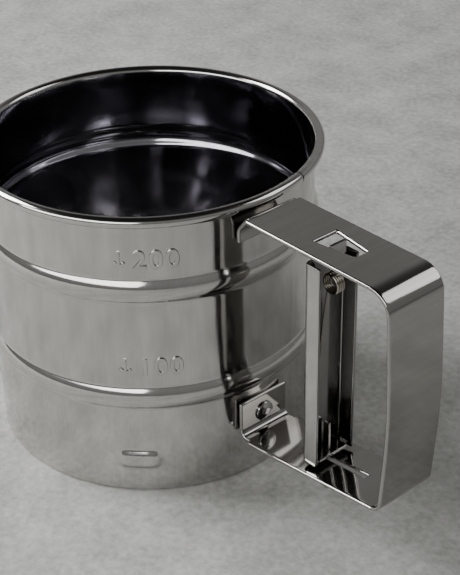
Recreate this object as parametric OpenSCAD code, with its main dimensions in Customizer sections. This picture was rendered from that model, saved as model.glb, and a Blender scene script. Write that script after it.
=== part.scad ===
// One-hand flour sifter: a sheet steel cup with a screen in its base, a strap handle riveted
// to its side, and a squeeze trigger in the handle that swings a stirrer over the screen.
// The origin is the centre of the cup's base; +Z is up and +X points along the handle.

/* [Cup] */
// Outside radius of the plain wall
cup_r = 49.7; // [44:0.1:60]
// Height of the cup over its rim
cup_h = 93.3; // [86:1:120]
// Thickness of the cup's sheet
sheet = 0.5; // [0.4:0.1:0.7]
// Outside radius of the rolled rim's curl
rim_curl_r = 1.65; // [1.3:0.05:2.2]
// Height of the lower bead's middle above the base
low_bead_z = 33.6; // [31:1:40]
// Distance from the lower bead up to the upper bead
bead_spacing = 35.7; // [28:1:38]
// Height of one bead
bead_h = 7; // [5:0.5:9]
// How far a bead stands out of the wall
bead_out = 1.3; // [0.8:0.1:2]

/* [Handle strap] */
// Width of the strap
strap_w = 20.5; // [18:0.5:28]
// Thickness of the strap
strap_t = 1.2; // [1:0.1:1.5]
// Width of the two feet that lie on the cup
foot_w = 18; // [14:0.5:18]
// Reach of the handle out from the cup's wall
handle_reach = 59; // [56:1:80]
// Drop from the top of the rim to the top of the strap
strap_drop = 3.1; // [2.5:0.1:6]

/* [Trigger] */
// Width of the trigger's channel
trigger_w = 15; // [12:0.5:17]
// Depth of the channel's two flanges
trigger_depth = 6; // [5:0.5:7]
// Sheet thickness of the trigger
trigger_t = 1; // [0.8:0.1:1.2]
// Distance from the cup's wall to the trigger's web
trigger_gap = 24.8; // [22:0.2:27]
// Largest swing of the trigger, in degrees
trigger_swing = 12; // [8:0.5:12]

/* [Return spring] */
// Wire diameter of the return spring
wire_d = 0.6; // [0.6:0.1:1]
// Outside diameter of the spring's coil
coil_d = 6.2; // [5.4:0.2:6.6]
// Turns in the coil
coil_turns = 3; // [3:1:6]

/* [Screen and stirrer] */
// Height of the screen's middle above the base
screen_z = 3.4; // [3:0.1:6]
// Thickness of the woven screen
screen_t = 0.5; // [0.3:0.1:0.8]
// Number of arms on the stirrer
stirrer_arms = 6; // [4:2:8]
// Width of one stirrer arm
stirrer_arm_w = 6; // [4:0.5:7]
// Diameter of the axle
axle_d = 4; // [3:0.5:5]
// Sideways distance from the axle to the link's pin
crank_offset = 14; // [13:0.5:18]

/* [Hidden] */

$fn = 96;
small_fn = 48;
eps = 0.01;

// Clearances: a running fit, a loose gap between moving pieces, and a snug gap at a fixed seat.
run_gap = 0.05;
free_gap = 0.4;
snug_gap = 0.02;

cup_in_r = cup_r - sheet;
hem_gap = 0.5;
base_in_r = cup_in_r - hem_gap - sheet;
rim_mid_r = cup_in_r + rim_curl_r;
rim_mid_z = cup_h - rim_curl_r;
rim_lip_gap = 0.5;
seam_angle = 18;
seam_w = 0.5;
high_bead_z = low_bead_z + bead_spacing;
bead_arc_r = (pow(bead_h / 2, 2) + pow(bead_out, 2)) / (2 * bead_out);

// Stack over the screen, from the bottom up.
band_t = 0.4;
band_lip = 3;
screen_top = screen_z + screen_t / 2;
band_z0 = screen_z - screen_t / 2 - band_t;
tail_h = 0.9;
tail_z0 = screen_top + 0.35;
washer_t = 0.5;
washer_z0 = tail_z0 + tail_h;
star_t = 0.6;
star_z0 = washer_z0 + washer_t + 0.1;
crank_t = 1;
crank_z0 = star_z0 + star_t;
link_h = 3;
link_t = 1;
link_z0 = crank_z0 + crank_t + 0.5;
bridge_t = 1;
bridge_z0 = link_z0 + link_h + 0.6;

// Pockets pressed outwards in the wall, which hold the ends of the bridge.
pocket_w = 13;
pocket_h = 6.6;
pocket_out = 1.1;
pocket_z = bridge_z0 + bridge_t / 2;
pocket_angles = [45, 135, 225, 315];
pocket_ball_r = (pow(pocket_h / 2, 2) + pow(pocket_out, 2)) / (2 * pocket_out);
pocket_ball_x = cup_r + pocket_out - pocket_ball_r;
pocket_half_run = (pocket_w - pocket_h) / 2;
bridge_arm_w = 8;
bridge_tab_h = 4.4;
bridge_end_x = pocket_ball_x + pocket_ball_r - sheet - 0.8;

// Handle strap, as heights and distances along X.
strap_top_z = cup_h - strap_drop;
top_run_z = strap_top_z - strap_t / 2;
top_foot_h = 9.3;
top_foot_flat = 4;
top_lean = 4.4;
low_run_z = 14.8;
low_run_rise = 0.124;
low_foot_top = 26.7;
grip_x = cup_r + handle_reach - strap_t / 2;
grip_bow = 1.4;
top_corner_r = 6.4;
low_corner_r = 4;
low_bend_r = 2.6;
top_bend_r = 1.2;
shoulder_x = cup_r + 5;
arc_steps = 8;

// Rivet that holds the lower foot.
rivet_z = 20.6;
rivet_r = 1.6;
rivet_head_r = 3.1;
rivet_head_h = 1.3;
rivet_tail_share = 0.8;
rivet_washer_r = 3.6;
rivet_washer_t = 0.6;
washer_sag = cup_in_r - sqrt(pow(cup_in_r, 2) - pow(rivet_washer_r, 2)) + snug_gap;

// Trigger, hung on a tab that stands in the strap's slot.
web_x = cup_r + trigger_gap;
web_in_x = web_x + trigger_t;
flange_x1 = web_x + trigger_depth;
pivot_x = web_x + 5;
pivot_z = top_run_z;
trigger_z0 = 20.2;
trigger_z1 = strap_top_z - 5.4;
shelf_z = trigger_z1 + 0.5;
tab_w = 5.8;
tab_top = strap_top_z - 0.2;
slot_x0 = pivot_x - 4.5;
slot_x1 = pivot_x + 8.5;
slot_w0 = 8;
slot_w1 = 4.3;
step_z = 21.6;
step_w = 11;

// Link between the trigger and the crank.
tongue_x0 = web_in_x + 0.7;
tongue_w = 2.2;
tongue_mid_x = tongue_x0 + tongue_w / 2;
tongue_top = 30.8;
lever_arm = pivot_z - step_z + trigger_t / 2;
link_stroke = lever_arm * sin(trigger_swing)
            + (pivot_x - tongue_mid_x) * (1 - cos(trigger_swing));
pin_r = 1;
pin_x = -link_stroke / 2;
pin_reach = norm([pin_x, crank_offset]);
crank_angle = atan2(crank_offset, pin_x);
jog_x0 = 24;
jog_x1 = 8;
eye_r = 2.2;

// Hub parts.
bush_r = 4;
bush_spigot_r = 3.2;
bush_z1 = bridge_z0 - 0.1;
hub_r = 9;
star_r = cup_in_r - band_lip - 1.2;
lip_z0 = screen_top + 0.45;
axle_head_r = 4.5;
axle_head_h = 2;

// Spring, wound about an axis along Y just outside the trigger's flanges.
wire_sides = 8;
turn_steps = 14;
coil_r = (coil_d - wire_d) / 2;
coil_x = flange_x1 + 0.3;
coil_z = strap_top_z - 10.9;
coil_y0 = -3.7;
coil_pitch = wire_d + 0.1;

function unit(v) = v / norm(v);
function left_of(v) = [-v[1], v[0]];

// Points of the arc of radius r that rounds the corner b between a and c.
function corner_arc(a, b, c, r) =
    let (to_a = unit(a - b),
         to_c = unit(c - b),
         half = acos(to_a * to_c) / 2,
         centre = b + unit(to_a + to_c) * r / sin(half),
         start = b + to_a * r / tan(half) - centre,
         side = cross(to_a, to_c) > 0 ? -1 : 1,
         sweep = side * (180 - 2 * half))
    [for (i = [0 : arc_steps])
        let (turn = sweep * i / arc_steps)
        centre + [start[0] * cos(turn) - start[1] * sin(turn),
                  start[0] * sin(turn) + start[1] * cos(turn)]];

// A path through corner points, each rounded by its own radius.
function rounded_path(points, radii) =
    let (last = len(points) - 1)
    concat([points[0]],
           [for (i = [1 : last - 1])
               for (p = corner_arc(points[i - 1], points[i], points[i + 1], radii[i - 1])) p],
           [points[last]]);

// Offset direction at a path point, long enough to keep the strip's thickness at a bend.
function mitre(path, i) =
    let (last = len(path) - 1,
         before = left_of(unit(path[max(i, 1)] - path[max(i, 1) - 1])),
         after = left_of(unit(path[min(i, last - 1) + 1] - path[min(i, last - 1)])))
    (before + after) / (1 + before * after);

// Outline of a strip of thickness t that follows a path.
function strip_outline(path, t) =
    let (last = len(path) - 1)
    concat([for (i = [0 : last]) path[i] + mitre(path, i) * t / 2],
           [for (i = [last : -1 : 0]) path[i] - mitre(path, i) * t / 2]);

strap_path = rounded_path(
    [[cup_r + strap_t / 2, strap_top_z - top_foot_h],
     [cup_r + strap_t / 2, strap_top_z - top_foot_h + top_foot_flat],
     [cup_r + top_lean, top_run_z],
     [grip_x - grip_bow, top_run_z],
     [grip_x + grip_bow / 2, (top_run_z + low_run_z) / 2],
     [grip_x - grip_bow, low_run_z + low_run_rise * (handle_reach - grip_bow)],
     [cup_r + strap_t / 2, low_run_z],
     [cup_r + strap_t / 2, low_foot_top]],
    [3, top_bend_r, top_corner_r, 200, low_corner_r, low_bend_r]);

// A shallow domed rivet head of radius r and height h, standing on z = 0.
module dome(r, h) {
    ball_r = (r * r + h * h) / (2 * h);
    intersection() {
        translate([0, 0, h - ball_r]) sphere(r = ball_r);
        cylinder(r = r, h = 2 * h);
    }
}

// Points the child's +Z along +X.
module along_x() {
    rotate([0, 90, 0]) children();
}

// One oblong pocket shape of ball radius r, lying along the wall's tangent.
module pocket_shape(r) {
    translate([pocket_ball_x, 0, pocket_z]) {
        rotate([90, 0, 0]) cylinder(r = r, h = 2 * pocket_half_run, center = true);
        for (side = [-1, 1]) translate([0, side * pocket_half_run, 0]) sphere(r = r);
    }
}

module bead_section(z, r) {
    translate([cup_r + bead_out - bead_arc_r, z]) circle(r = r);
}

// Half section of the cup: hemmed base, wall with two beads, and rolled rim.
module cup_section() {
    difference() {
        union() {
            translate([cup_in_r, 0]) square([sheet, rim_mid_z]);
            translate([base_in_r, 0]) square([cup_r - base_in_r, sheet]);
            translate([base_in_r, 0]) square([sheet, band_z0]);
            intersection() {
                union() {
                    bead_section(low_bead_z, bead_arc_r);
                    bead_section(high_bead_z, bead_arc_r);
                }
                translate([cup_in_r, 0]) square([bead_out + 2 * sheet, cup_h]);
            }
        }
        bead_section(low_bead_z, bead_arc_r - sheet);
        bead_section(high_bead_z, bead_arc_r - sheet);
    }
    difference() {
        translate([rim_mid_r, rim_mid_z]) circle(r = rim_curl_r);
        translate([rim_mid_r, rim_mid_z]) circle(r = rim_curl_r - sheet);
        translate([cup_r, rim_mid_z - rim_curl_r]) square([rim_lip_gap, rim_curl_r]);
    }
}

module cup_body() {
    color("silver")
    difference() {
        union() {
            rotate_extrude() cup_section();
            difference() {
                for (a = pocket_angles) rotate(a) pocket_shape(pocket_ball_r);
                translate([0, 0, -eps]) cylinder(r = cup_in_r, h = cup_h);
            }
        }
        for (a = pocket_angles) rotate(a) pocket_shape(pocket_ball_r - sheet);
        translate([0, 0, rivet_z]) along_x() cylinder(r = rivet_r + snug_gap, h = 2 * cup_r, $fn = small_fn);
        translate([cup_in_r - 1, -link_t / 2 - free_gap, link_z0 - free_gap])
            cube([3, link_t + 2 * free_gap, link_h + 2 * free_gap]);
        rotate(seam_angle)
            translate([cup_r + eps, -seam_w / 2, cup_h - 2 * rim_curl_r - eps])
                cube([2 * rim_curl_r, seam_w, 2 * rim_curl_r + 1]);
    }
}

module handle_strap() {
    color("lightgray")
    difference() {
        rotate([90, 0, 0]) linear_extrude(strap_w, center = true)
            polygon(strip_outline(strap_path, strap_t));
        // The feet are narrower than the strap.
        for (side = [-1, 1])
            translate([cup_r - 1, side * (foot_w + strap_w) / 2 - strap_w / 2, 0])
                cube([shoulder_x - cup_r + 1, strap_w, cup_h]);
        // Slot that the trigger's tab stands in, narrower at its outer end.
        translate([0, 0, strap_top_z - 3]) linear_extrude(4)
            polygon([[slot_x0, -slot_w0 / 2], [slot_x1, -slot_w1 / 2],
                     [slot_x1, slot_w1 / 2], [slot_x0, slot_w0 / 2]]);
        // Slot that the link's tongue slides in.
        translate([tongue_x0 - free_gap, -link_t / 2 - 0.3, low_run_z - 3])
            cube([tongue_w + link_stroke + 2 * free_gap, link_t + 0.6, 11]);
        translate([cup_r - 1, 0, rivet_z]) along_x() cylinder(r = rivet_r + snug_gap, h = 5, $fn = small_fn);
    }
}

module handle_rivet() {
    tail_x = cup_in_r - washer_sag - rivet_washer_t;
    color("gainsboro")
    translate([0, 0, rivet_z]) {
        translate([cup_r + strap_t, 0, 0]) along_x() dome(rivet_head_r, rivet_head_h, $fn = small_fn);
        translate([tail_x, 0, 0]) rotate([0, -90, 0])
            dome(rivet_head_r * rivet_tail_share, rivet_head_h * rivet_tail_share, $fn = small_fn);
        translate([tail_x - rivet_head_h / 2, 0, 0]) along_x()
            cylinder(r = rivet_r, h = cup_r + strap_t - tail_x + rivet_head_h, $fn = small_fn);
    }
}

module rivet_washer() {
    color("silver")
    translate([cup_in_r - washer_sag - rivet_washer_t, 0, rivet_z]) along_x()
        difference() {
            cylinder(r = rivet_washer_r, h = rivet_washer_t, $fn = small_fn);
            translate([0, 0, -eps]) cylinder(r = rivet_r + snug_gap, h = rivet_washer_t + 1, $fn = small_fn);
        }
}

// Crimped band around the screen's edge, resting on the hem.
module screen_band() {
    color("silver")
    rotate_extrude()
        difference() {
            translate([cup_in_r - band_lip, band_z0]) square([band_lip - run_gap, screen_t + 2 * band_t]);
            translate([0, band_z0 + band_t]) square([cup_in_r - band_t - run_gap, screen_t]);
        }
}

module screen_mesh() {
    color("darkgray")
    translate([0, 0, screen_z - screen_t / 2])
        cylinder(r = cup_in_r - band_t - 3 * run_gap, h = screen_t);
}

// Fixed spider over the stirrer, sprung into the four pockets.
module bridge() {
    color("silver")
    difference() {
        union() {
            translate([0, 0, bridge_z0]) cylinder(r = hub_r, h = bridge_t);
            for (a = pocket_angles) rotate(a) {
                translate([0, -bridge_arm_w / 2, bridge_z0])
                    cube([bridge_end_x, bridge_arm_w, bridge_t]);
                translate([bridge_end_x - bridge_t, -bridge_arm_w / 2, pocket_z - bridge_tab_h / 2])
                    cube([bridge_t, bridge_arm_w, bridge_tab_h]);
            }
        }
        translate([0, 0, bridge_z0 - 1]) cylinder(r = axle_d / 2 + snug_gap, h = bridge_t + 2, $fn = small_fn);
    }
}

module axle_rivet() {
    color("gainsboro") {
        translate([0, 0, bridge_z0 + bridge_t]) dome(axle_head_r, axle_head_h, $fn = small_fn);
        translate([0, 0, tail_z0]) cylinder(r = axle_d / 2, h = bridge_z0 + bridge_t - tail_z0, $fn = small_fn);
        translate([0, 0, tail_z0]) cylinder(r = axle_d / 2 + 1.2, h = tail_h, $fn = small_fn);
    }
}

module axle_washer() {
    color("silver")
    translate([0, 0, washer_z0])
        difference() {
            cylinder(r = axle_d / 2 + 2.4, h = washer_t, $fn = small_fn);
            translate([0, 0, -1]) cylinder(r = axle_d / 2 + snug_gap, h = washer_t + 2, $fn = small_fn);
        }
}

module hub_bush() {
    color("lightgray")
    difference() {
        union() {
            translate([0, 0, star_z0]) cylinder(r = bush_spigot_r, h = star_t + crank_t, $fn = small_fn);
            translate([0, 0, crank_z0 + crank_t])
                cylinder(r = bush_r, h = bush_z1 - crank_z0 - crank_t, $fn = small_fn);
        }
        translate([0, 0, star_z0 - 1]) cylinder(r = axle_d / 2 + run_gap, h = bush_z1, $fn = small_fn);
    }
}

// Arm with the radial slot that the link's pin works in.
module crank_arm() {
    slot_half = pin_r + 0.3;
    color("silver")
    translate([0, 0, crank_z0]) linear_extrude(crank_t)
        difference() {
            union() {
                circle(r = hub_r - 1.5);
                rotate(crank_angle) {
                    translate([0, -slot_half - 2]) square([pin_reach + 1, 2 * slot_half + 4]);
                    translate([pin_reach + 1, 0]) circle(r = slot_half + 2);
                }
            }
            circle(r = bush_spigot_r + snug_gap, $fn = small_fn);
            rotate(crank_angle) {
                translate([crank_offset - 0.4, 0]) circle(r = slot_half);
                translate([pin_reach + 0.4, 0]) circle(r = slot_half);
                translate([crank_offset - 0.4, -slot_half])
                    square([pin_reach - crank_offset + 0.8, 2 * slot_half]);
            }
        }
}

// Star of flat arms, each with one long edge turned down to the screen.
module stirrer_star() {
    arm_angles = [for (i = [0 : stirrer_arms - 1]) crank_angle + (i + 0.5) * 360 / stirrer_arms];
    color("silver") {
        translate([0, 0, star_z0]) linear_extrude(star_t)
            difference() {
                union() {
                    circle(r = hub_r);
                    for (a = arm_angles) rotate(a)
                        translate([hub_r - 1, -stirrer_arm_w / 2]) square([star_r - hub_r + 1, stirrer_arm_w]);
                }
                circle(r = bush_spigot_r + snug_gap, $fn = small_fn);
            }
        for (a = arm_angles) rotate(a)
            translate([hub_r + 1, -stirrer_arm_w / 2, lip_z0])
                cube([star_r - hub_r - 2, star_t, star_z0 - lip_z0 + star_t / 2]);
    }
}

// Flat bar on edge, from the trigger's tongue through the wall to the crank's pin.
module link_bar() {
    color("silver") {
        difference() {
            union() {
                translate([0, 0, link_z0]) linear_extrude(link_h)
                    polygon(strip_outline(rounded_path(
                        [[tongue_x0 + tongue_w, 0], [jog_x0, 0], [jog_x1, crank_offset], [pin_x, crank_offset]],
                        [3, 3]), link_t));
                translate([pin_x, crank_offset, link_z0]) cylinder(r = eye_r, h = link_h, $fn = small_fn);
            }
            translate([pin_x, crank_offset, link_z0 - 1])
                cylinder(r = pin_r + snug_gap, h = link_h + 2, $fn = small_fn);
        }
        translate([tongue_x0, -link_t / 2, link_z0]) cube([tongue_w, link_t, tongue_top - link_z0]);
    }
}

module crank_pin() {
    color("gainsboro")
    translate([pin_x, crank_offset, star_z0]) cylinder(r = pin_r, h = link_z0 + link_h - star_z0, $fn = small_fn);
}

// Channel with its web towards the cup, a step at its foot and a tab at its head.
module trigger_lever() {
    in_w = trigger_w - 2 * trigger_t;
    color("gainsboro")
    difference() {
        union() {
            difference() {
                translate([web_x, -trigger_w / 2, trigger_z0])
                    cube([trigger_depth, trigger_w, trigger_z1 - trigger_z0]);
                translate([web_in_x, -in_w / 2, trigger_z0 - 1])
                    cube([trigger_depth, in_w, trigger_z1 - trigger_z0 + 2]);
                translate([web_x - 1, -in_w / 2, trigger_z0 - 1])
                    cube([trigger_depth, in_w, step_z - trigger_t - trigger_z0 + 1]);
            }
            translate([web_x, -step_w / 2, step_z - trigger_t])
                cube([trigger_depth - 0.5, step_w, trigger_t]);
            translate([web_x, -tab_w / 2, trigger_z1 - 1]) cube([trigger_t, tab_w, shelf_z - trigger_z1 + 2]);
            translate([web_x, -tab_w / 2, shelf_z]) cube([pivot_x - web_x + trigger_t / 2, tab_w, trigger_t]);
            translate([pivot_x - trigger_t / 2, -tab_w / 2, shelf_z])
                cube([trigger_t, tab_w, tab_top - shelf_z]);
        }
        translate([tongue_x0 - free_gap, -link_t / 2 - 0.3, step_z - 3])
            cube([tongue_w + 2 * free_gap, link_t + 0.6, 6]);
    }
}

// Wire path of the return spring: upper leg, coil, lower leg.
function coil_point(turn) =
    let (y = coil_y0 + coil_pitch * turn / 360)
    [coil_x + coil_r * sin(turn), y, coil_z + coil_r * cos(turn)];
spring_leg_x = web_in_x + wire_d / 2 + run_gap;
spring_path = concat(
    [[slot_x1 - 1.2, -0.6, strap_top_z - strap_t - wire_d / 2 - run_gap],
     [slot_x1 + 1.2, -1.8, strap_top_z - strap_t - wire_d / 2 - 0.8],
     [coil_x + 4.5, -4, coil_z + coil_r + 2.6]],
    [for (i = [0 : coil_turns * turn_steps + turn_steps * 3 / 4]) coil_point(i * 360 / turn_steps)],
    [[spring_leg_x + 0.5, coil_y0 + coil_pitch * (coil_turns + 1), coil_z - 10],
     [spring_leg_x, coil_y0 + coil_pitch * (coil_turns + 1) - 1.5, coil_z - 26]]);

// Ring of points around a path point, square to the path there.
function wire_ring(path, i) =
    let (last = len(path) - 1,
         ahead = unit(path[min(i + 1, last)] - path[max(i - 1, 0)]),
         side = unit(cross(ahead, [0.1, 1, 0.2])),
         up = cross(side, ahead))
    [for (k = [0 : wire_sides - 1])
        path[i] + (side * cos(k * 360 / wire_sides) + up * sin(k * 360 / wire_sides)) * wire_d / 2];

module return_spring() {
    rings = len(spring_path);
    color("white")
    polyhedron(
        points = [for (i = [0 : rings - 1]) for (p = wire_ring(spring_path, i)) p],
        faces = concat(
            [[for (k = [0 : wire_sides - 1]) k]],
            [for (i = [0 : rings - 2]) for (k = [0 : wire_sides - 1])
                let (k2 = (k + 1) % wire_sides, a = i * wire_sides, b = a + wire_sides)
                [a + k, b + k, b + k2, a + k2]],
            [[for (k = [wire_sides - 1 : -1 : 0]) (rings - 1) * wire_sides + k]]));
}

cup_body();
handle_strap();
handle_rivet();
rivet_washer();
screen_band();
screen_mesh();
bridge();
axle_rivet();
axle_washer();
hub_bush();
crank_arm();
stirrer_star();
link_bar();
crank_pin();
trigger_lever();
return_spring();
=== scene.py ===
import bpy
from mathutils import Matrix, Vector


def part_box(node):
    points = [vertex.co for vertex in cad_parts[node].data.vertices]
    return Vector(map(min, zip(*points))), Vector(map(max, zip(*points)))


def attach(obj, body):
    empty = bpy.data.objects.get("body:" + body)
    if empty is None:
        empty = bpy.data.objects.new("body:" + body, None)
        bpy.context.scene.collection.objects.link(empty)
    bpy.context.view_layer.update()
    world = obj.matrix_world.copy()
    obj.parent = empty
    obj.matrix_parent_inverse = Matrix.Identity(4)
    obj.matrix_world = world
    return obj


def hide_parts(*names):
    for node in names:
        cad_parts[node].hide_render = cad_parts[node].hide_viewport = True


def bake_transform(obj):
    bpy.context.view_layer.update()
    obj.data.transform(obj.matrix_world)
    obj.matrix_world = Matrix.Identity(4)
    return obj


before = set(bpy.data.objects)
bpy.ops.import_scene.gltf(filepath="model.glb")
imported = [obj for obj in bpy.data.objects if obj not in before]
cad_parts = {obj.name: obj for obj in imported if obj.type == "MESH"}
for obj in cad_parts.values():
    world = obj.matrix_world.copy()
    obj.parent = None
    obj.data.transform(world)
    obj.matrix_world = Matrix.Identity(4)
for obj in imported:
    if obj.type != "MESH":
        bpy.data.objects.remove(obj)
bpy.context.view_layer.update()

import math

import bmesh
import bpy
import numpy as np
from mathutils import Matrix, Vector

MM = 0.001
TAU = 2 * math.pi
# radius that stands for a point on a turned piece's own axis
AXIS_R = 0.001

# ---- sizes, in millimetres, from the frame
def box_mm(node):
    """Lowest and highest corners of a node at rest."""
    low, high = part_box(node)
    return low / MM, high / MM


CUP_HIGH = box_mm("cup_body")[1]
STRAP_LOW, STRAP_HIGH = box_mm("handle_strap")
TRIGGER_LOW, TRIGGER_HIGH = box_mm("trigger_lever")
BAND_LOW, BAND_HIGH = box_mm("screen_band")
MESH_LOW, MESH_HIGH = box_mm("screen_mesh")
BRIDGE_LOW, BRIDGE_HIGH = box_mm("bridge")
CRANK_LOW, CRANK_HIGH = box_mm("crank_arm")
LINK_LOW, LINK_HIGH = box_mm("link_bar")
PIN_LOW, PIN_HIGH = box_mm("crank_pin")
RIVET_LOW, RIVET_HIGH = box_mm("handle_rivet")
RIVET_WASHER_LOW, RIVET_WASHER_HIGH = box_mm("rivet_washer")
AXLE_LOW, AXLE_HIGH = box_mm("axle_rivet")
AXLE_WASHER_LOW, AXLE_WASHER_HIGH = box_mm("axle_washer")
BUSH_LOW, BUSH_HIGH = box_mm("hub_bush")

# cup: the wall, the rolled rim, the two beads and the four pockets
SHEET = 0.5
WALL_R = STRAP_LOW.x
WALL_MID = WALL_R - SHEET / 2
CUP_TOP = CUP_HIGH.z
RIM_R = 1.65
RIM_MID_R = CUP_HIGH.y - RIM_R
RIM_MID_Z = CUP_TOP - RIM_R
RIM_CURL = RIM_R - SHEET / 2
RIM_TURN = math.radians(285)
HEM_IN = 1.0
HEM_FOLD_R = 0.5
HEM_TOP = 2.5
BEAD_HEIGHTS = (33.6, 69.3)
BEAD_HALF = 3.5
BEAD_OUT = 1.3
SEAM_ANGLE = math.radians(18)
SEAM_DEPTH = 0.05
SEAM_HALF = 0.4
RIM_GAP_HALF = 0.25
POCKET_ANGLES = [math.radians(a) for a in (45, 135, 225, 315)]
POCKET_Z = (BRIDGE_LOW.z + BRIDGE_HIGH.z) / 2
POCKET_RUN_HALF = 3.6
POCKET_R = 3.9
POCKET_SLOPE = 2.7
POCKET_OUT = 1.0

# raised marks on the wall: the figures and the height of their feet
MARKS = (("200", 77.0), ("100", 42.0))
FIGURE_SIZE = 7.8
FIGURE_START = math.radians(-43.6)
ARROW_START = math.radians(-50)
MARK_RISE = 0.45

# handle: the strap, its slot and its lower run
STRAP_T = 1.2
STRAP_HALF = STRAP_HIGH.y
STRAP_EDGE = 0.58
FOOT_HALF = 9
SHOULDER_X = WALL_R + 5
STRAP_TOP = STRAP_HIGH.z
RUN_Z = STRAP_TOP - STRAP_T / 2
GRIP_X = STRAP_HIGH.x - STRAP_T / 2
WEB_X = TRIGGER_LOW.x
FLANGE_X = TRIGGER_HIGH.x
PIVOT_X = WEB_X + 5
SLOT_X = (PIVOT_X - 4.5, PIVOT_X + 8.5)
SLOT_HALF = (4, 2.15)
RIVET_Z = (RIVET_LOW.z + RIVET_HIGH.z) / 2
LOW_RUN_Z = RIVET_Z - 5.8
TONGUE_SLOT_X = (76, 93)
TONGUE_SLOT_HALF = 0.8

# trigger: the channel, the step at its foot and the shelf that carries the tab
TRIGGER_T = 1.0
STEP_Z = TRIGGER_LOW.z + 0.9
STEP_HALF = 5.5
STEP_SLOT_X = (76.0, 78.6)
SHELF_HALF = 2.9
CHANNEL_TOP = STRAP_TOP - 5.4

# stirrer, bridge and link
PLATE_T = 1.0
BRIDGE_REACH = 49.5
BRIDGE_ARM_HALF = 4
BRIDGE_PLATE_TOP = POCKET_Z + PLATE_T / 2
HUB_R = 9
STAR_Z = 5.5
STAR_T = 0.6
STAR_REACH = 45
STAR_ARM_HALF = 3
STAR_ARMS = 6
AXLE_R = 2.0
BUSH_R = 3.2
PIN_R = 1.0
PIN_X = (PIN_LOW.x + PIN_HIGH.x) / 2
PIN_Y = (PIN_LOW.y + PIN_HIGH.y) / 2
LINK_H = 3.0


# ---- mesh helpers
def turned(x, y, angle):
    """A plane point turned about the origin."""
    c, s = math.cos(angle), math.sin(angle)
    return x * c - y * s, x * s + y * c


def put_object(name, verts, faces, smooth=True):
    """A mesh object from plain lists, shaded smooth."""
    mesh = bpy.data.meshes.new(name)
    mesh.from_pydata([tuple(c * MM for c in v) for v in verts], [], [tuple(f) for f in faces])
    mesh.validate()
    if smooth:
        mesh.polygons.foreach_set("use_smooth", [True] * len(mesh.polygons))
    piece = bpy.data.objects.new(name, mesh)
    bpy.context.scene.collection.objects.link(piece)
    return piece


def apply_modifiers(piece):
    """Replaces a piece's mesh by what its modifiers make of it."""
    depsgraph = bpy.context.evaluated_depsgraph_get()
    mesh = bpy.data.meshes.new_from_object(
        piece.evaluated_get(depsgraph), preserve_all_data_layers=True, depsgraph=depsgraph)
    piece.modifiers.clear()
    piece.data = mesh


def soften_edges(piece, width, segments=3, angle=40, edge_highlight=False):
    """Rounds a sheet's cut edges, which may take a pale steel as a painted highlight, and keeps its flat
    faces flat.
    """
    bevel = piece.modifiers.new("edge", "BEVEL")
    bevel.width = width * MM
    bevel.segments = segments
    bevel.limit_method = "ANGLE"
    bevel.angle_limit = math.radians(angle)
    bevel.use_clamp_overlap = False
    # painted highlight: the rounded edges get a pale, rougher steel that stands for a bright edge highlight
    if edge_highlight:
        for finish in (STRAP_STEEL, CUT_EDGE_HIGHLIGHT):
            piece.data.materials.append(finish)
        bevel.material = 1
    even = piece.modifiers.new("even", "WEIGHTED_NORMAL")
    even.weight = 80
    even.keep_sharp = False
    apply_modifiers(piece)


def cut_away(piece, cutters):
    """Cuts solid shapes out of a piece."""
    for cutter in cutters:
        cut = piece.modifiers.new("cut", "BOOLEAN")
        cut.operation = "DIFFERENCE"
        cut.solver = "MANIFOLD"
        cut.object = cutter
    apply_modifiers(piece)
    for cutter in cutters:
        bpy.data.objects.remove(cutter)


def block(name, low, high):
    """A plain box."""
    corners = [(x, y, z) for x in (low[0], high[0]) for y in (low[1], high[1]) for z in (low[2], high[2])]
    faces = [(0, 1, 3, 2), (4, 6, 7, 5), (0, 4, 5, 1), (2, 3, 7, 6), (0, 2, 6, 4), (1, 5, 7, 3)]
    return put_object(name, corners, faces, smooth=False)


def rod(name, start, end, radius, sides=48):
    """A plain round bar."""
    return sweep(name, [Vector(start), Vector(end)], radius, sides)


def loop_faces(rings, per_ring, close_rings=False, close_sides=True):
    """Quads between neighbouring rings of points."""
    faces = []
    last = rings if close_rings else rings - 1
    side = per_ring if close_sides else per_ring - 1
    for i in range(last):
        a, b = i * per_ring, ((i + 1) % rings) * per_ring
        for k in range(side):
            k2 = (k + 1) % per_ring
            faces.append((a + k, b + k, b + k2, a + k2))
    return faces


def sweep(name, path, radius, sides=12, tip=0.0):
    """A round wire along a path, with flat or slightly domed ends."""
    points = [Vector(p) for p in path]
    if tip:
        first, last = (points[0] - points[1]).normalized(), (points[-1] - points[-2]).normalized()
        points = [points[0] + first * tip] + points + [points[-1] + last * tip]
    count = len(points)
    normal = None
    verts = []
    for i, point in enumerate(points):
        ahead = (points[min(i + 1, count - 1)] - points[max(i - 1, 0)]).normalized()
        if normal is None:
            normal = ahead.orthogonal().normalized()
        normal = (normal - ahead * normal.dot(ahead)).normalized()
        other = ahead.cross(normal)
        size = radius * (0.55 if tip and i in (0, count - 1) else 1)
        for k in range(sides):
            turn = TAU * k / sides
            verts.append(point + (normal * math.cos(turn) + other * math.sin(turn)) * size)
    faces = loop_faces(count, sides)
    faces.append(tuple(range(sides)))
    faces.append(tuple(range((count - 1) * sides, count * sides)))
    piece = put_object(name, verts, faces)
    recalculate(piece)
    return piece


def recalculate(piece):
    """Points every face of a closed piece outwards."""
    mesh = bmesh.new()
    mesh.from_mesh(piece.data)
    bmesh.ops.recalc_face_normals(mesh, faces=mesh.faces)
    mesh.to_mesh(piece.data)
    mesh.free()


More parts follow.
